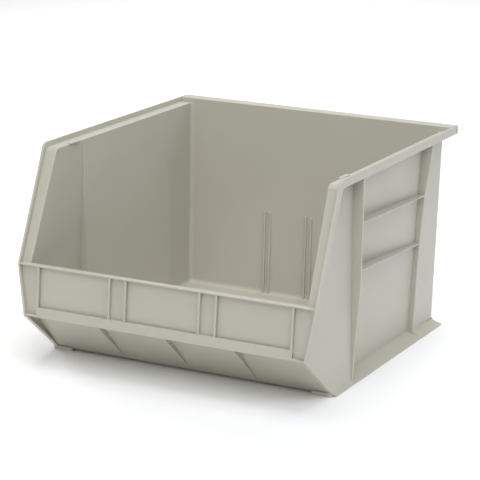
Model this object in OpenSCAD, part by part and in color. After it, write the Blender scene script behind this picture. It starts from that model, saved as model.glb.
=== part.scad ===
// Stack-and-hang storage bin with an open hopper front. Millimetres.
// X is across the bin (the user's right is +X), Y runs from the front to the rear, Z is up.
// The origin is on the floor line, in the middle of the bin's outer box.

/* [Overall size] */
// Width across the rim
bin_w = 419; // [380:1:440]
// Length from the nose to the rear hanging lip
bin_l = 457.2; // [430:0.1:500]
// Height to the top of the rim
bin_h = 279.4; // [260:0.1:300]
// Moulded wall thickness
wall = 3; // [2.5:0.1:3.5]

/* [Hopper front] */
// Height of the nose, the lower front corner
nose_z = 66; // [62:1:70]
// Height of the front lip
lip_z = 134; // [128:1:140]
// How far the lip stands behind the nose
lip_back = 4.2; // [3:0.1:6]
// How far the top front corner stands behind the nose
crown_back = 65.6; // [60:0.1:72]
// How far the front of the feet stands behind the nose
foot_back = 84.6; // [80:0.1:90]
// Recess of the label wall behind the rim's front edge
face_recess = 5.5; // [5:0.1:6]
// Height of the lip bead
lip_h = 2.5; // [2:0.1:3]

/* [Rim] */
// Depth of the stacking ledge below the rim's edge
ledge_drop = 7; // [6:0.5:8]
// Height of the rim's outer band
band_h = 11.5; // [11:0.1:13]
// Radius of the rim's top front corner
crown_r = 10; // [8:0.5:12]
// Overhang of the rim behind the rear wall's foot
rear_overhang = 19.6; // [18:0.1:22]
// Height of the hanging lip
hang_h = 12; // [11:0.1:14]

/* [Walls] */
// Half width over the side walls just under the rim
wall_top = 194.3; // [190:0.1:196]
// Half width over the front panels at the floor line
front_foot = 200.4; // [196:0.1:202]
// Half width over the side walls between the ribs at the floor line
side_foot = 183.5; // [180:0.5:190]
// Half width over the rear panels at the floor line
rear_foot = 190; // [184:0.5:192]
// How much the rear wall leans out over its height
rear_lean = 3; // [2:0.1:4]
// Radius of the coves inside
cove_r = 6; // [5:0.5:8]

/* [Feet] */
// Height of the floor's underside above the ground
foot_h = 3.5; // [3:0.1:4]
// Half width over the feet
foot_out = 205; // [200:0.5:206]
// Width of each foot's flat sole
foot_w = 32; // [28:1:36]

/* [Label fronts] */
// Distance between label windows
label_pitch = 127; // [120:1:130]
// Width of a label window
label_w = 101; // [95:1:103]
// Width of a label bar
bar_w = 3; // [2.5:0.1:4]
// Height of the band under the labels
sill_h = 13; // [11:0.5:15]

/* [Side ribs] */
// Place of the front rib
front_rib_y = -90; // [-100:1:-80]
// Place of the rear rib
rear_rib_y = 138; // [130:1:150]
// Thickness of ribs and gussets
rib_t = 3; // [2.5:0.1:3.5]
// Thickness of the rails
rail_t = 2; // [1.5:0.1:3]
// Distance between the hopper's gussets
gusset_pitch = 96; // [90:1:100]

/* [Dividers] */
// Distance between pairs of divider ribs
divider_pitch = 64; // [60:1:68]
// Distance between the two ribs of a pair
divider_gap = 8; // [7:0.5:9]
// Height that the divider ribs reach
divider_top = 128; // [110:1:150]

/* [Hidden] */

stone = [0.73, 0.72, 0.68];
rim_x = bin_w / 2;
band_x = rim_x - wall;
front_y = -bin_l / 2;
rear_y = bin_l / 2;
ledge_z = bin_h - ledge_drop;
ledge_under = ledge_drop + wall;
rim_under = bin_h - ledge_under;
step_front = front_rib_y - rib_t / 2;
step_rear = rear_rib_y + rib_t / 2;
nose_x = face_x(front_foot, nose_z);
face_back = face_recess + wall;
lip_under = lip_z - lip_h;
floor_top = foot_h + wall;
back_foot = rear_y - rear_overhang;
hang_t = 3.6;
hang_y = rear_y - hang_t;
slit_w = 3.4;
crown_split = bin_h - 18;
sill_top = nose_z + sill_h;
groove_d = 1.5;
groove_w = 1.2;
label_end = label_pitch + label_w / 2 + bar_w;
flare_h = 9;
flare_curve = [[0.97, 0.18], [0.2, 0.58], [0.05, 0.76], [0, 1]];
toe_l = 7;
chin_w = 5.5;
strip_z = nose_z + 20;
gusset_z = 6;
lug_y = -127;
lug_l = 24;
lug_w = 6;
lug_h = 1.8;
lug_root = 1.5;
lug_x = wall_top - wall - 2;
sole_edge = foot_out - foot_w;
rail_front_x = rim_x - 0.8;
upper_rail_x = rim_x - 9.2;
lower_rail_x = rim_x - 14;
upper_rail_z = [211, 199];
lower_rail_z = [150, 132];
upstand_z = bin_h - wall + 0.5;
far = 600;

// Corners of the side outline, from the front of the feet up and round to the rear
p_foot = [front_y + foot_back, 0];
p_nose = [front_y, nose_z];
p_lip = [front_y + lip_back, lip_z];
p_crown = [front_y + crown_back, bin_h];
p_rear = [rear_y, bin_h];

// A vector's direction, and its inward normal on the side outline
function unit(v) = v / norm(v);
function inward(v) = [v[1], -v[0]] / norm(v);
function cross2(a, b) = a[0] * b[1] - a[1] * b[0];
// Where the line through p along u meets the line through q along v
function meet(p, u, q, v) = p + u * cross2(q - p, v) / cross2(u, v);
// Where two edges of the outline, a to b and b to c, meet once each is moved inward
function inset(a, b, c, d1, d2) =
  meet(b + d1 * inward(b - a), unit(b - a), b + d2 * inward(c - b), unit(c - b));
// A corner p between directions u and v, rounded with radius r
function rounded(p, u, v, r, steps = 10) =
  let(turn = acos(u * v), t = r * tan(turn / 2), c = p - u * t + r * inward(u),
      a0 = atan2(-inward(u)[1], -inward(u)[0]))
  [for (i = [0:steps]) c + r * [cos(a0 - turn * i / steps), sin(a0 - turn * i / steps)]];
// The side outline with its lower, front, slanted and top edges moved inward
function outline(low, front, slant, top, r) = concat(
  [[rear_y, 0], meet(p_foot + low * inward(p_nose - p_foot), unit(p_nose - p_foot), [0, 0], [1, 0])],
  [inset(p_foot, p_nose, p_lip, low, front), inset(p_nose, p_lip, p_crown, front, slant)],
  rounded(inset(p_lip, p_crown, p_rear, slant, top), unit(p_crown - p_lip), [1, 0], r),
  [[rear_y, bin_h - top]]);
// Half width over a wall's outer face at height z, with the half width foot at the floor line
function face_x(foot, z) = foot + (wall_top - foot) * min(z, rim_under) / rim_under;
// A wall's outer line as [x, z] points from the floor line up, moved out by d
function wall_line(foot, d) = [[foot + d, 0], [wall_top + d, rim_under], [wall_top + d, bin_h]];
// Points in reverse order, and points moved to the other side of the bin
function reversed(points) = [for (i = [len(points) - 1:-1:0]) points[i]];
function mirrored(points) = [for (p = points) [-p[0], p[1]]];
// Place of the rear wall's outer face at height z
function back_y(z) = back_foot + rear_lean * z / bin_h;
// Y of the plane that lies d behind the rim's front edge, below the lip, at height z
function face_y(z, d) = front_y + d * norm(p_lip - p_nose) / (lip_z - nose_z)
  + lip_back * (z - nose_z) / (lip_z - nose_z);
// Y of the hopper slope's underside at height z
function slope_y(z) = p_foot[0] - z;

// Corners shared by the floor, the slope and the front wall
slope_in = wall * sqrt(2);
floor_low = [slope_y(foot_h), foot_h];
floor_high = [slope_y(floor_top) + slope_in, floor_top];
p_chin = meet(p_foot, unit(p_nose - p_foot), [0, foot_h], [1, 0]);
face_dir = unit(p_lip - p_nose);
slope_dir = unit([-1, 1]);
knee_out = meet([face_y(nose_z, face_recess), nose_z], face_dir, floor_low, slope_dir);
knee_in = meet([face_y(nose_z, face_back), nose_z], face_dir, floor_high, slope_dir);
knee_low = meet([face_y(nose_z, face_back), nose_z], face_dir, floor_low, slope_dir);

// Outer edges of the side ribs from the top down, as [x, z]
front_rib_edge = [[rim_x, 125], [rim_x - 5, 55], [rim_x - 6.6, 18], [rim_x - 7, 2]];
rear_rib_edge = [[rim_x - 1.5, bin_h - 30], [rim_x - 8.5, bin_h - 81], [rim_x - 13.2, bin_h - 148],
                 [rim_x - 16.5, 52], [rim_x - 18, 5]];

// Extrudes a Y-Z outline along X between two places
module along_x(x0, x1) {
  translate([x0, 0, 0]) rotate([90, 0, 90]) linear_extrude(x1 - x0) children();
}

// Extrudes an X-Z outline along Y between two places
module along_y(y0, y1) {
  translate([0, y1, 0]) rotate([90, 0, 0]) linear_extrude(y1 - y0) children();
}

// A box from its lowest and highest corners
module span(low, high) {
  translate(low) cube(high - low);
}

// Draws its children on the user's right, or mirrored on the left
module on_side(side) {
  mirror([side == "left" ? 1 : 0, 0, 0]) children();
}

// The three stretches of a side: front panel, side wall between the ribs, and rear panel, each as
// [front end, rear end, half width at the floor line]
stretches = [[-far, step_front, front_foot], [step_front, step_rear, side_foot],
             [step_rear, far, rear_foot]];

// The space between the inner faces of the bin's two sides
module between_walls() {
  for (part = stretches)
    along_y(part[0], part[1])
      polygon(concat(wall_line(part[2], -wall), reversed(mirrored(wall_line(part[2], -wall)))));
}

// Everything to the right of the right side's inner faces, d further out
module right_of_wall(d) {
  for (part = stretches)
    along_y(part[0], part[1])
      polygon(concat(wall_line(part[2], d - wall), [[far, bin_h], [far, 0]]));
}

// The slab between the inner and outer faces of one stretch of the right side
module side_slab(part) {
  along_y(part[0], part[1])
    polygon(concat(wall_line(part[2], -wall), reversed(wall_line(part[2], 0))));
}

// The front panel's outline: down to the chin, behind the label wall, under the rim
module panel_outline() {
  slant = [p_lip + ledge_under * inward(p_crown - p_lip), unit(p_crown - p_lip)];
  polygon([
    [step_front, foot_h],
    p_chin,
    p_nose,
    [face_y(nose_z, face_back), nose_z],
    [face_y(lip_z, face_back), lip_z],
    meet(slant[0], slant[1], [0, lip_z], [1, 0]),
    inset(p_lip, p_crown, p_rear, ledge_under, ledge_under),
    [step_front, rim_under]]);
}

// The space above the hopper slope's inner face and above the floor
module above_floor() {
  along_x(-far, far)
    polygon([[far, floor_top], floor_high, knee_in, [-far, knee_in[1]], [-far, far], [far, far]]);
}

// The corner left by a cove: a square with its far corner hollowed, root deep into the walls
module cove_profile(root) {
  difference() {
    translate([-root, -root]) square(cove_r + root);
    translate([cove_r, cove_r]) circle(cove_r, $fn = 96);
  }
}

// The place and lean of the right rear inner corner, with +X to the left and +Y to the front
module in_rear_corner() {
  translate([face_x(rear_foot, floor_top) - wall, back_y(floor_top) - wall, floor_top])
    rotate([atan(rear_lean / bin_h), -atan((wall_top - rear_foot) / rim_under), 180]) children();
}

// A thin strip just behind the rim's front edge, from depth d0 to d1, between two heights
module face_strip(d0, d1, z0, z1) {
  polygon([[face_y(z0, d0), z0], [face_y(z1, d0), z1], [face_y(z1, d1), z1], [face_y(z0, d1), z0]]);
}

// The floor, from the rear wall to the foot of the hopper slope
module floor_panel() {
  color(stone)
    intersection() {
      between_walls();
      along_x(-rim_x, rim_x)
        polygon([floor_low, [back_y(foot_h) - wall, foot_h],
                 [back_y(floor_top) - wall, floor_top], floor_high]);
    }
}

// The slope from the floor up to the label wall
module hopper_slope() {
  color(stone)
    intersection() {
      between_walls();
      along_x(-rim_x, rim_x) polygon([floor_low, knee_out, knee_in, floor_high]);
    }
}

// The label wall, behind the lip and the label bars
module front_wall() {
  color(stone)
    intersection() {
      between_walls();
      along_x(-rim_x, rim_x)
        polygon([knee_out, [face_y(lip_under, face_recess), lip_under],
                 [face_y(lip_under, face_back), lip_under], knee_in]);
    }
}

// A bead along the top of the front wall, from rim to rim
module front_lip() {
  color(stone) along_x(-band_x, band_x) face_strip(0, face_back, lip_under, lip_z);
}

// The rear wall between the side walls
module back_wall() {
  color(stone)
    intersection() {
      between_walls();
      along_x(-rim_x, rim_x)
        polygon([[back_y(foot_h) - wall, foot_h], [back_y(foot_h), foot_h],
                 [back_y(bin_h - wall), bin_h - wall],
                 [back_y(bin_h - wall) - wall, bin_h - wall]]);
    }
}

// The space in front of the rear wall's inner face, from the floor to the ledges
module before_back_wall() {
  along_x(-far, far)
    polygon([[-far, floor_top], [back_y(floor_top) - wall, floor_top],
             [back_y(ledge_z) - wall, ledge_z], [-far, ledge_z]]);
}

// The cove along the rear wall's foot and up its two ends, with a ball corner between them
module rear_cove() {
  foot_x = face_x(rear_foot, floor_top) - wall - cove_r + 0.2;
  color(stone)
    intersection() {
      between_walls();
      before_back_wall();
      union() {
        along_x(-foot_x, foot_x)
          translate([back_y(floor_top) - wall, floor_top]) mirror([1, 0]) cove_profile(0.5);
        for (side = ["left", "right"]) on_side(side) in_rear_corner() {
          translate([0, 0, cove_r - 0.2]) linear_extrude(bin_h) cove_profile(0.5);
          difference() {
            translate([-0.5, -0.5, -0.5]) cube(cove_r + 0.5);
            translate([cove_r, cove_r, cove_r]) sphere(cove_r, $fn = 96);
          }
        }
      }
    }
}

// The cove along the foot of one stretch of the right side
module side_cove(part) {
  intersection() {
    above_floor();
    along_x(0, rim_x)
      polygon([[-far, 0], [back_y(0) - wall - cove_r, 0],
               [back_y(bin_h) - wall - cove_r, bin_h], [-far, bin_h]]);
    along_y(max(part[0], floor_high[0] - cove_r), min(part[1], rear_y))
      translate([face_x(part[2], floor_top) - wall, floor_top]) mirror([1, 0]) cove_profile(0.5);
  }
}

// The bead inside the chin, the front panel's slanted lower edge, in front of the hopper slope
module chin_bead() {
  chin = [p_foot + wall * inward(p_nose - p_foot), unit(p_nose - p_foot)];
  intersection() {
    along_y(-far, step_front)
      polygon(concat(wall_line(front_foot, -chin_w), reversed(wall_line(front_foot, -wall))));
    along_x(0, rim_x)
      polygon([p_foot, p_nose, meet(chin[0], chin[1], [0, nose_z], [1, 0]),
               meet(chin[0], chin[1], p_foot, slope_dir)]);
  }
}

// The panel ahead of the front rib, which stands further out than the side wall
module front_panel(side) {
  color(stone) on_side(side) {
    intersection() {
      side_slab(stretches[0]);
      along_x(0, rim_x) panel_outline();
    }
    side_cove(stretches[0]);
    chin_bead();
  }
}

// The side wall between the two ribs
module side_wall(side) {
  color(stone) on_side(side) {
    intersection() {
      side_slab(stretches[1]);
      span([0, -far, foot_h], [rim_x, far, rim_under]);
    }
    side_cove(stretches[1]);
  }
}

// The panel behind the rear rib
module rear_panel(side) {
  color(stone) on_side(side) {
    intersection() {
      side_slab(stretches[2]);
      along_x(0, rim_x)
        polygon([[step_rear, foot_h], [back_y(foot_h), foot_h],
                 [back_y(rim_under), rim_under], [step_rear, rim_under]]);
    }
    side_cove(stretches[2]);
  }
}

// The section of a foot under a wall with the half width foot: its flat sole and outer flare
module foot_section(foot) {
  root = face_x(foot, flare_h);
  polygon(concat([[sole_edge, 0], [foot_out, 0]],
                 [for (p = flare_curve) [root + p[0] * (foot_out - root), p[1] * flare_h]],
                 [[face_x(foot, foot_h), foot_h], [sole_edge, foot_h]]));
}

// The feet of the right side, with a section for each stretch
module foot_body() {
  for (part = stretches) along_y(part[0], part[1]) foot_section(part[2]);
}

// A foot along the bottom of a side, with a blunt toe under the chin's lower end
module foot_runner(side) {
  toe_top = meet([p_foot[0] - toe_l, 0], [0, 1], p_foot, unit(p_nose - p_foot));
  color(stone) on_side(side) {
    intersection() {
      foot_body();
      along_x(0, far)
        difference() {
          polygon(outline(0, 0, 0, 0, crown_r));
          translate([back_foot + 2, -1]) square(far);
        }
    }
    along_x(sole_edge, front_foot)
      polygon([[p_foot[0] + toe_l, 0], [p_foot[0] - toe_l, 0], toe_top, p_chin,
               [p_foot[0] + toe_l, foot_h / 2]]);
  }
}

// The block on the right ledge that a stacked bin's foot stops against, let into the ledge
module lug_block() {
  span([lug_x, lug_y, ledge_z - lug_root], [lug_x + lug_w, lug_y + lug_l, ledge_z + lug_h]);
}

// The stacking ledge and the outer band along the top, with the rounded front corner
module top_rim(side) {
  color(stone) on_side(side) {
    difference() {
      intersection() {
        right_of_wall(0);
        along_x(0, band_x)
          difference() {
            polygon(outline(0, 0, ledge_drop, ledge_drop, crown_r));
            polygon(outline(0, 0, ledge_under, ledge_under, crown_r));
            translate([-far, -1]) square([2 * far, crown_split + 1]);
            polygon([[back_y(0) - wall, 0], [far, 0], [far, bin_h],
                     [back_y(bin_h) - wall, bin_h]]);
          }
      }
      lug_block();
    }
    along_x(band_x, rim_x)
      difference() {
        polygon(outline(0, 0, 0, 0, crown_r));
        polygon(outline(0, 0, band_h, band_h, 1));
        translate([-far, -1]) square([2 * far, crown_split + 1]);
        translate([hang_y, 0]) square(far);
        translate([hang_y - slit_w, 0]) square([far, bin_h - hang_t]);
      }
  }
}

// The rim down the slanted front edge of a side wall
module front_flange(side) {
  color(stone) on_side(side) {
    intersection() {
      right_of_wall(0);
      along_x(0, band_x)
        intersection() {
          difference() {
            polygon(outline(0, 0, ledge_drop, 0, 0.1));
            polygon(outline(0, 0, ledge_under, 0, 0.1));
          }
          translate([-far, lip_z]) square([2 * far, crown_split - lip_z]);
        }
    }
    along_x(band_x, rim_x)
      intersection() {
        difference() {
          polygon(outline(0, 0, 0, 0, 0.1));
          polygon(outline(0, band_h, band_h, 0, 0.1));
        }
        translate([-far, lip_under]) square([2 * far, crown_split - lip_under]);
      }
  }
}

// The rim down the steep nose below the lip, drawing in towards the wall
module nose_flange(side) {
  color(stone) on_side(side) {
    intersection() {
      along_y(-far, far)
        polygon([[nose_x - wall, nose_z], [nose_x, nose_z], [rim_x, lip_under], [band_x, lip_under]]);
      along_x(0, rim_x)
        polygon([[face_y(nose_z, 0), nose_z], [face_y(lip_under, 0), lip_under],
                 [face_y(lip_under, band_h), lip_under], [face_y(strip_z, face_back), strip_z],
                 [face_y(nose_z, face_back), nose_z]]);
    }
    intersection() {
      along_y(-far, far)
        polygon([[0, nose_z], [nose_x - wall, nose_z], [band_x, lip_under], [0, lip_under]]);
      union() {
        intersection() {
          right_of_wall(0);
          along_x(0, rim_x) face_strip(face_recess, face_back, nose_z, lip_under);
        }
        intersection() {
          between_walls();
          along_x(label_end, rim_x)
            polygon([[face_y(nose_z, face_recess), nose_z], knee_out, knee_low,
                     [face_y(nose_z, face_back), nose_z]]);
        }
        along_x(label_end, rim_x) face_strip(0, face_recess, nose_z, nose_z + wall);
      }
    }
  }
}

// The rear rim: a flat top, a hanging lip and the upstands that close the ledges
module rear_rim() {
  color(stone) {
    span([-band_x, back_y(bin_h) - wall, bin_h - wall], [band_x, hang_y, bin_h]);
    span([-rim_x, hang_y, bin_h - hang_h], [rim_x, rear_y, bin_h]);
    for (side = ["left", "right"]) on_side(side)
      intersection() {
        right_of_wall(0);
        along_x(0, band_x)
          polygon([for (z = [bin_h - ledge_under, upstand_z]) [back_y(z) - wall, z],
                   for (z = [upstand_z, bin_h - ledge_under]) [back_y(z), z]]);
      }
  }
}

// The lug near the front of a ledge, standing a little proud of the wall inside
module stacking_lug(side) {
  color(stone) on_side(side) lug_block();
}

// The band under the label windows, with a groove for the cards' lower edges
module label_sill() {
  color(stone)
    difference() {
      along_x(-label_end, label_end) face_strip(0, face_recess, nose_z, sill_top);
      for (i = [-1:1])
        along_x(i * label_pitch - label_w / 2, i * label_pitch + label_w / 2)
          face_strip(face_recess - groove_d, face_recess + 1, sill_top - groove_w, sill_top + 1);
    }
}

// The two bars beside a label window, grooved for the card's edges
module label_bars(i) {
  color(stone) translate([i * label_pitch, 0, 0])
    for (side = ["left", "right"]) on_side(side)
      difference() {
        along_x(label_w / 2, label_w / 2 + bar_w) face_strip(0, face_recess, sill_top, lip_under);
        along_x(label_w / 2 - 1, label_w / 2 + groove_w)
          face_strip(face_recess - groove_d, face_recess + 1, sill_top - 1, lip_under + 1);
      }
}

// A gusset between the hopper slope and the band under the labels
module gusset(i) {
  color(stone)
    along_x(i * gusset_pitch - rib_t / 2, i * gusset_pitch + rib_t / 2)
      polygon([[face_y(nose_z, face_recess), nose_z], knee_out, [slope_y(gusset_z), gusset_z]]);
}

// A plate rib standing on a side wall at y, with the outer edge given as [x, z] points
module side_rib(side, y, edge) {
  color(stone) on_side(side)
    difference() {
      intersection() {
        right_of_wall(wall);
        along_y(y - rib_t / 2, y + rib_t / 2)
          polygon(concat([[0, bin_h - ledge_under], [band_x, bin_h - ledge_under],
                          [band_x, bin_h - band_h], [rim_x, bin_h - band_h]], edge,
                         [[0, edge[len(edge) - 1][1]]]));
      }
      foot_body();
    }
}

// A rail between the two ribs of a side wall. z holds the heights of its top at the front rib
// and at the rear rib, and rear_x is how far out its edge stands at the rear rib
module side_rail(side, z, rear_x) {
  y0 = front_rib_y + rib_t / 2;
  y1 = rear_rib_y - rib_t / 2;
  color(stone) on_side(side)
    intersection() {
      right_of_wall(wall);
      along_x(0, far) polygon([[y0, z[0] - rail_t], [y1, z[1] - rail_t], [y1, z[1]], [y0, z[0]]]);
      linear_extrude(bin_h) polygon([[0, y0], [rail_front_x, y0], [rear_x, y1], [0, y1]]);
    }
}

// The rail a quarter of the way down a side wall
module upper_rail(side) {
  side_rail(side, upper_rail_z, upper_rail_x);
}

// The rail at half a side wall's height
module lower_rail(side) {
  side_rail(side, lower_rail_z, lower_rail_x);
}

// A pair of upright ribs on the rear wall that hold a divider
module divider_ribs(i) {
  color(stone)
    difference() {
      for (step = [-0.5, 0.5])
        along_x(i * divider_pitch + step * divider_gap - rib_t / 2,
                i * divider_pitch + step * divider_gap + rib_t / 2)
          polygon([[back_y(floor_top) - wall, floor_top], [back_y(divider_top) - wall, divider_top],
                   [back_y(divider_top) - wall - rib_t, divider_top],
                   [back_y(floor_top) - wall - rib_t, floor_top]]);
      along_x(-rim_x, rim_x)
        translate([back_y(floor_top) - wall, floor_top]) mirror([1, 0]) cove_profile(0.5);
    }
}

floor_panel();
hopper_slope();
front_wall();
front_lip();
back_wall();
rear_cove();
side_wall("left");  // left_side_wall
side_wall("right");  // right_side_wall
foot_runner("left");  // left_foot_runner
foot_runner("right");  // right_foot_runner
top_rim("left");  // left_top_rim
top_rim("right");  // right_top_rim
front_flange("left");  // left_front_flange
front_flange("right");  // right_front_flange
nose_flange("left");  // left_nose_flange
nose_flange("right");  // right_nose_flange
front_panel("left");  // left_front_panel
front_panel("right");  // right_front_panel
rear_panel("left");  // left_rear_panel
rear_panel("right");  // right_rear_panel
rear_rim();
stacking_lug("left");  // left_stacking_lug
stacking_lug("right");  // right_stacking_lug
label_sill();
label_bars(-1);  // left_label_bars
label_bars(0);  // centre_label_bars
label_bars(1);  // right_label_bars
gusset(-1);  // left_gusset
gusset(0);  // centre_gusset
gusset(1);  // right_gusset
side_rib("left", front_rib_y, front_rib_edge);  // left_front_rib
side_rib("right", front_rib_y, front_rib_edge);  // right_front_rib
side_rib("left", rear_rib_y, rear_rib_edge);  // left_rear_rib
side_rib("right", rear_rib_y, rear_rib_edge);  // right_rear_rib
upper_rail("left");  // left_upper_rail
upper_rail("right");  // right_upper_rail
lower_rail("left");  // left_lower_rail
lower_rail("right");  // right_lower_rail
divider_ribs(-1);  // left_divider_ribs
divider_ribs(0);  // centre_divider_ribs
divider_ribs(1);  // right_divider_ribs
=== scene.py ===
"""The looks of a stack-and-hang storage bin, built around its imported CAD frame. Metres, +Z up."""

import math

import bmesh
import bpy
from mathutils import Matrix, Vector
from mathutils.bvhtree import BVHTree


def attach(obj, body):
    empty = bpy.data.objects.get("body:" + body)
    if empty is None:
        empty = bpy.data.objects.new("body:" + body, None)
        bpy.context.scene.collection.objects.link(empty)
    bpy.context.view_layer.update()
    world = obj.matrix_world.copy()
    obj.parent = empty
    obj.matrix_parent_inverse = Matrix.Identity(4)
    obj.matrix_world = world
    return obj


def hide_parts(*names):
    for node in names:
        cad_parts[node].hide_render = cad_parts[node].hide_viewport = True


MM = 0.001

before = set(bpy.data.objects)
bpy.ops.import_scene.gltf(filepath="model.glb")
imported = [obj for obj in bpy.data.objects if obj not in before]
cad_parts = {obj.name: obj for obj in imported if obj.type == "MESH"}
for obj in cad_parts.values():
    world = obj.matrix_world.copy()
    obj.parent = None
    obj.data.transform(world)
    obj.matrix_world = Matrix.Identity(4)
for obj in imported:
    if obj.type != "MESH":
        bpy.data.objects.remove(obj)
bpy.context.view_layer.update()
scene = bpy.context.scene

# ---------------------------------------------------------------- camera

CAMERA_AZIMUTH = math.radians(26.38)
CAMERA_ELEVATION = math.radians(14.63)
CAMERA_ROLL = math.radians(1.17)
CAMERA_PLACE = Vector((1.196, -2.4216, 0.8461))
CAMERA_LENS = 158.1


def make_camera():
    """A long lens to the front right of the bin, looking a little down and rolled a little."""
    level = math.cos(CAMERA_ELEVATION)
    back = Vector((math.sin(CAMERA_AZIMUTH) * level, -math.cos(CAMERA_AZIMUTH) * level,
                   math.sin(CAMERA_ELEVATION)))
    right = Vector((0, 0, 1)).cross(back).normalized()
    up = back.cross(right)
    turn, lift = math.cos(CAMERA_ROLL), math.sin(CAMERA_ROLL)
    axes = Matrix((turn * right + lift * up, turn * up - lift * right, back)).transposed()
    data = bpy.data.cameras.new("camera")
    data.lens = CAMERA_LENS
    data.sensor_width = 36.0
    data.clip_start = 0.05
    data.clip_end = 60.0
    camera = bpy.data.objects.new("camera", data)
    camera.matrix_world = Matrix.Translation(CAMERA_PLACE) @ axes.to_4x4()
    scene.collection.objects.link(camera)
    scene.camera = camera


# ---------------------------------------------------------------- light and floor

BIN_CENTRE = Vector((0.0, 0.0, 0.13))
# name: azimuth from the front towards the right, elevation, angle across, strength
SUNS = {
    "front_sun": (22, 50, 40, 1.223),
    "low_front_sun": (0, 20, 40, 0.492),
    "right_sun": (112, 20, 40, 0.352),
}
# name: azimuth, elevation, distance, size, watts
SOFTBOXES = {
    "overhead_softbox": (0, 89, 2.4, 1.6, 28.6),
    "right_softbox": (67, 45, 2.6, 1.4, 13.6),
    "low_right_softbox": (112, 15, 2.6, 1.2, 6.1),
    "rear_softbox": (157, 45, 2.6, 1.4, 6.9),
    "left_rear_softbox": (-157, 45, 2.6, 1.4, 4.9),
    "left_softbox": (-112, 15, 2.6, 1.2, 31.1),
    "near_left_softbox": (-60, 20, 1.5, 0.9, 1.5),
}
# A box over the far floor: place, width, depth, watts
FAR_SOFTBOX = ((-1.4, 3.0, 2.2), 3.0, 2.0, 39.5)
# The lamps on the right are slightly cooler than the rest
COOL = (0.95, 1.0, 1.08)
NEUTRAL = (1.0, 1.0, 1.0)

FLOOR_HALF = 12.0
FLOOR_COLOUR = (0.94, 0.94, 0.94, 1.0)


def way_to(azimuth, elevation):
    """The direction away from the bin at an azimuth, from the front towards the right."""
    a, e = math.radians(azimuth), math.radians(elevation)
    return Vector((math.sin(a) * math.cos(e), -math.cos(a) * math.cos(e), math.sin(e)))


def make_lamp(name, kind, energy, way, place=(0, 0, 0)):
    """A lamp that shines from where way points."""
    data = bpy.data.lights.new(name, kind)
    data.energy = energy
    data.color = COOL if "right" in name else NEUTRAL
    lamp = bpy.data.objects.new(name, data)
    lamp.location = place
    lamp.rotation_euler = way.to_track_quat("Z", "Y").to_euler()
    scene.collection.objects.link(lamp)
    return data


def make_light():
    """Wide soft suns and softboxes, with nothing coming from the world around them."""
    for name, (azimuth, elevation, across, strength) in SUNS.items():
        sun = make_lamp(name, "SUN", strength, way_to(azimuth, elevation))
        sun.angle = math.radians(across)
    for name, (azimuth, elevation, distance, size, watts) in SOFTBOXES.items():
        way = way_to(azimuth, elevation)
        make_lamp(name, "AREA", watts, way, BIN_CENTRE + way * distance).size = size
    place, width, depth, watts = FAR_SOFTBOX
    box = make_lamp("far_softbox", "AREA", watts, Vector((0, 0, 1)), place)
    box.shape = "RECTANGLE"
    box.size, box.size_y = width, depth
    world = bpy.data.worlds.new("studio")
    world.use_nodes = True
    world.node_tree.nodes["Background"].inputs["Strength"].default_value = 0.0
    scene.world = world
    scene.view_settings.view_transform = "Standard"


def make_floor():
    """A plain pale floor, far wider than the view."""
    corners = [(x * FLOOR_HALF, y * FLOOR_HALF, 0) for x, y in ((-1, -1), (1, -1), (1, 1), (-1, 1))]
    mesh = bpy.data.meshes.new("floor")
    mesh.from_pydata(corners, [], [(0, 1, 2, 3)])
    floor = bpy.data.objects.new("floor", mesh)
    scene.collection.objects.link(floor)
    paint = bpy.data.materials.new("floor_paint")
    paint.use_nodes = True
    shader = paint.node_tree.nodes["Principled BSDF"]
    shader.inputs["Base Color"].default_value = FLOOR_COLOUR
    shader.inputs["Roughness"].default_value = 0.8
    shader.inputs["Specular IOR Level"].default_value = 0.2
    mesh.materials.append(paint)


# ---------------------------------------------------------------- material

STONE = (0.49, 0.475, 0.405)
GRAIN = 0.35
ROUGHNESS = 0.42


class Nodes:
    """A short way to add and link shader nodes in one material."""

    def __init__(self, material):
        self.tree = material.node_tree

    def add(self, kind, **inputs):
        made = self.tree.nodes.new(kind)
        for name, value in inputs.items():
            self.put(made, name, value)
        return made

    def put(self, made, name, value):
        socket = made.inputs[int(name) if name.isdigit() else name]
        if isinstance(value, bpy.types.NodeSocket):
            self.tree.links.new(value, socket)
        else:
            socket.default_value = value

    def noise(self, place, scale, detail=3.0, rough=0.5):
        made = self.add("ShaderNodeTexNoise", Scale=scale, Detail=detail, Roughness=rough)
        self.put(made, "Vector", place)
        return made.outputs["Fac"]

    def ramp(self, value, low, high, out_low, out_high):
        made = self.add("ShaderNodeMapRange")
        for name, number in zip(("From Min", "From Max", "To Min", "To Max"),
                                (low, high, out_low, out_high)):
            made.inputs[name].default_value = number
        self.put(made, "Value", value)
        return made.outputs["Result"]

    def math(self, kind, a, b):
        made = self.tree.nodes.new("ShaderNodeMath")
        made.operation = kind
        self.put(made, "0", a)
        self.put(made, "1", b)
        return made.outputs[0]

    def mix(self, factor, a, b):
        made = self.tree.nodes.new("ShaderNodeMix")
        made.data_type = "RGBA"
        self.put(made, "0", factor)
        self.put(made, "6", a)
        self.put(made, "7", b)
        return made.outputs[2]


def shade(colour, factor):
    """A colour made lighter or darker."""
    return tuple(min(1.0, c * factor) for c in colour) + (1.0,)


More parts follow.
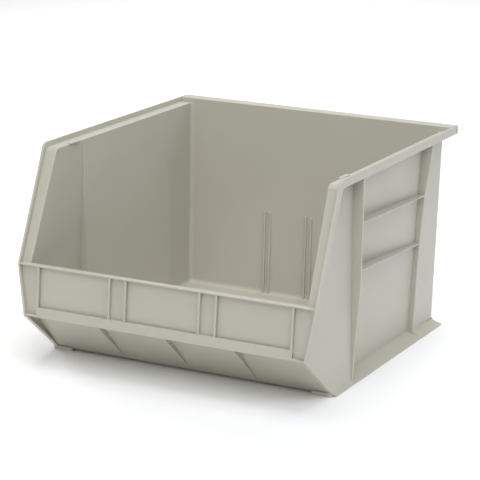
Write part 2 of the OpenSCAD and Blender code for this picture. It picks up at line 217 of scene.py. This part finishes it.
def moulded_plastic():
    """Satin moulded plastic: fine mould grain, slow colour drift, soft waviness, and rounded edges a
    little lighter and glossier.
    """
    material = bpy.data.materials.new("stone_plastic")
    material.use_nodes = True
    nodes = Nodes(material)
    shader = material.node_tree.nodes["Principled BSDF"]
    place = nodes.add("ShaderNodeTexCoord").outputs["Object"]
    edge = nodes.add("ShaderNodeAttribute")
    edge.attribute_name = "edge"
    rounded_edge = edge.outputs["Fac"]

    drift = nodes.noise(place, 9.0, detail=4.0)
    fleck = nodes.noise(place, 260.0, detail=2.0)
    base = nodes.mix(nodes.ramp(drift, 0.3, 0.7, 0.0, 1.0), shade(STONE, 0.975), shade(STONE, 1.02))
    base = nodes.mix(nodes.ramp(fleck, 0.35, 0.65, 0.0, 0.35), base, shade(STONE, 1.03))
    # The rounded edges are made a tenth lighter in colour here and a little glossier below
    base = nodes.mix(nodes.math("MULTIPLY", rounded_edge, 0.5), base, shade(STONE, 1.1))
    nodes.put(shader, "Base Color", base)

    patch = nodes.noise(place, 22.0, detail=3.0)
    rough = nodes.ramp(patch, 0.3, 0.7, ROUGHNESS - 0.03, ROUGHNESS + 0.04)
    rough = nodes.math("SUBTRACT", rough, nodes.math("MULTIPLY", rounded_edge, 0.08))
    nodes.put(shader, "Roughness", rough)
    shader.inputs["IOR"].default_value = 1.49
    shader.inputs["Specular IOR Level"].default_value = 0.5

    pits = nodes.noise(place, 1100.0, detail=2.0, rough=0.6)
    waves = nodes.noise(place, 14.0, detail=1.0)
    grain_bump = nodes.add("ShaderNodeBump", Strength=GRAIN, Distance=0.00012, Height=pits)
    wave_bump = nodes.add("ShaderNodeBump", Strength=0.25, Distance=0.0012, Height=waves)
    nodes.put(wave_bump, "Normal", grain_bump.outputs["Normal"])
    nodes.put(shader, "Normal", wave_bump.outputs["Normal"])
    return material


# ---------------------------------------------------------------- pieces

# Points closer than MERGE are joined, faces thinner than SLIVER go, and faces that turn less than
# FLAT from each other become one
MERGE = 0.002 * MM
SLIVER = 0.02 * MM
FLAT = math.radians(0.3)
# An outer edge that turns more than SHARP is rounded, unless another node's surface is within
# CONTACT of most of the sample points along it
SHARP = math.radians(20)
CONTACT = 0.03 * MM
EDGE_SAMPLES = (0.08, 0.29, 0.5, 0.71, 0.92)
MOST_SAMPLES = 3
# The radius of each node's exposed edges, in millimetres
EDGE_RADII = {
    "front_lip": 1.1, "rear_rim": 1.2, "top_rim": 1.1, "front_flange": 1.1, "nose_flange": 1.1,
    "stacking_lug": 1.3, "label_sill": 0.9, "label_bars": 0.7, "gusset": 0.9,
    "front_rib": 0.9, "rear_rib": 0.9, "rail": 0.8, "divider_ribs": 1.1, "foot_runner": 0.5,
}
PLAIN_RADIUS = 0.5
# The upright rear corners are rounder. They stand beyond these places and are this long or more
REAR_CORNER_RADIUS = 2.4
CORNER_X, CORNER_Y, CORNER_LENGTH = 180 * MM, 205 * MM, 200 * MM
WIDEST = REAR_CORNER_RADIUS * MM
# The shares of those radii tried in turn, until no more than this area of a piece folds over
ROUNDING_SHARES = (1.0, 0.8, 0.6, 0.4, 0.2)
MOST_FOLDED = 10.0 * MM * MM
# A triangle is folded over where its normal and its face's agree less than this
FOLD_COSINE = 0.2


def edge_radius(node):
    """The radius of a node's exposed edges."""
    for ending, radius in EDGE_RADII.items():
        if node.endswith(ending):
            return radius * MM
    return PLAIN_RADIUS * MM


def clean_mesh(node):
    """A CAD node's mesh with its doubled points joined and its flat faces made whole."""
    mesh = bmesh.new()
    mesh.from_mesh(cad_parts[node].data)
    bmesh.ops.remove_doubles(mesh, verts=mesh.verts, dist=MERGE)
    bmesh.ops.dissolve_degenerate(mesh, dist=SLIVER, edges=mesh.edges)
    bmesh.ops.dissolve_limit(mesh, angle_limit=FLAT, verts=mesh.verts, edges=mesh.edges)
    return mesh


def surface_trees():
    """Search trees over the CAD nodes' surfaces."""
    return {n: BVHTree.FromObject(o, bpy.context.evaluated_depsgraph_get())
            for n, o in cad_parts.items()}


def touches(edge, trees, own):
    """Whether most of an edge lies on another node's surface, where the moulding carries on."""
    a, b = edge.verts[0].co, edge.verts[1].co
    hits = 0
    for step in EDGE_SAMPLES:
        point = a.lerp(b, step)
        if any(tree.find_nearest(point, CONTACT)[0] is not None
               for name, tree in trees.items() if name != own):
            hits += 1
    return hits >= MOST_SAMPLES


def rear_corner(edge):
    """The upright outer corner at the bin's rear, which is rounder than the other edges."""
    middle = (edge.verts[0].co + edge.verts[1].co) / 2
    return (abs(middle.x) > CORNER_X and middle.y > CORNER_Y
            and edge.calc_length() > CORNER_LENGTH)


def mark_edges(mesh, node, trees):
    """Weights for the bevel: each exposed outer edge gets its radius, the others stay sharp."""
    layer = mesh.edges.layers.float.new("bevel_weight_edge")
    for edge in mesh.edges:
        if len(edge.link_faces) != 2 or edge.calc_face_angle() < SHARP:
            continue
        if not edge.is_convex or touches(edge, trees, node):
            edge.smooth = False
            continue
        rounder = node.endswith("rear_panel") and rear_corner(edge)
        edge[layer] = 1.0 if rounder else edge_radius(node) / WIDEST


def settle(piece):
    """Applies a piece's modifiers to its mesh."""
    graph = bpy.context.evaluated_depsgraph_get()
    mesh = bpy.data.meshes.new_from_object(piece.evaluated_get(graph))
    piece.modifiers.clear()
    piece.data = mesh


def folded_area(data):
    """The area of a mesh's triangles that are folded over against their own face."""
    data.calc_loop_triangles()
    total = 0.0
    for triangle in data.loop_triangles:
        if triangle.normal.dot(data.polygons[triangle.polygon_index].normal) < FOLD_COSINE:
            total += triangle.area
    return total


def rounded_piece(node, material, trees, share):
    """A CAD node's shape with its marked edges rounded to a share of their full radius."""
    mesh = clean_mesh(node)
    mark_edges(mesh, node, trees)
    data = bpy.data.meshes.new(node + "_moulded")
    mesh.to_mesh(data)
    mesh.free()
    data.shade_smooth()
    piece = bpy.data.objects.new(node + "_moulded", data)
    scene.collection.objects.link(piece)
    round_off = piece.modifiers.new("round_off", "BEVEL")
    round_off.limit_method = "WEIGHT"
    round_off.width = WIDEST * share
    round_off.segments = 3
    round_off.use_clamp_overlap = False
    round_off.material = 1
    even = piece.modifiers.new("even", "WEIGHTED_NORMAL")
    even.weight = 100
    even.keep_sharp = True
    data.materials.append(material)
    data.materials.append(material)
    settle(piece)
    return piece


def make_piece(node, material, trees):
    """The visible piece for one CAD node: the same shape with moulded, rounded edges."""
    for share in ROUNDING_SHARES:
        piece = rounded_piece(node, material, trees, share)
        if folded_area(piece.data) < MOST_FOLDED or share == ROUNDING_SHARES[-1]:
            break
        bpy.data.objects.remove(piece)
    data = piece.data
    data.name = node + "_moulded"
    rounded_edge = data.attributes.new("edge", "FLOAT", "FACE")
    rounded_edge.data.foreach_set("value", [float(p.material_index) for p in data.polygons])
    data.materials.clear()
    data.materials.append(material)
    for polygon in data.polygons:
        polygon.material_index = 0
    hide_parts(node)
    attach(piece, "root")


def make_pieces():
    """All the visible pieces, one for each CAD node and all of one plastic."""
    trees = surface_trees()
    plastic = moulded_plastic()
    for node in sorted(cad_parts):
        make_piece(node, plastic, trees)


make_camera()
make_light()
make_floor()
make_pieces()
